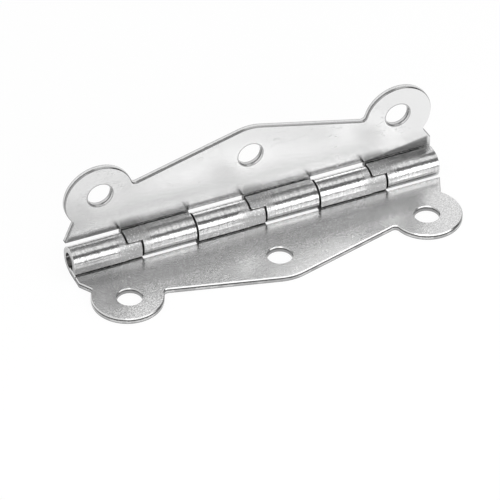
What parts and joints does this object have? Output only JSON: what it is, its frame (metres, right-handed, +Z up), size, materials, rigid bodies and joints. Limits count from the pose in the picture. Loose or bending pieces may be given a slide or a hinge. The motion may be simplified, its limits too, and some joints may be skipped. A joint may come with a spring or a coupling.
{
  "type": "box hinge",
  "caption": "Pressed-sheet box hinge with winged leaves, rounded screw ears, interleaved rolled knuckles on a hidden pin, and stop tabs that hold the lid square when open.",
  "frame": {"origin": "centre of the front leaf's middle screw hole, on the leaf's back face, which is the centre of its screw row", "axes": "+X along the pin, +Y from the front leaf's apex towards the pin, +Z up out of the front leaf's knuckle side"},
  "size_m": [0.0664, 0.0187, 0.0187],
  "materials": {
    "nickel_plate": "bright nickel plating on stamped steel sheet",
    "pin_steel": "plain drawn steel wire"
  },
  "bodies": {
    "front_leaf": {"front_leaf": "nickel_plate", "hinge_pin": "pin_steel"},
    "rear_leaf": {"rear_leaf": "nickel_plate"}
  },
  "joints": [
    {"name": "leaf_hinge", "type": "hinge", "parent": "front_leaf", "child": "rear_leaf", "pos_m": [0, 0.01075, 0.00245], "axis": [-1, 0, 0], "range_deg": [0, 90]}
  ]
}
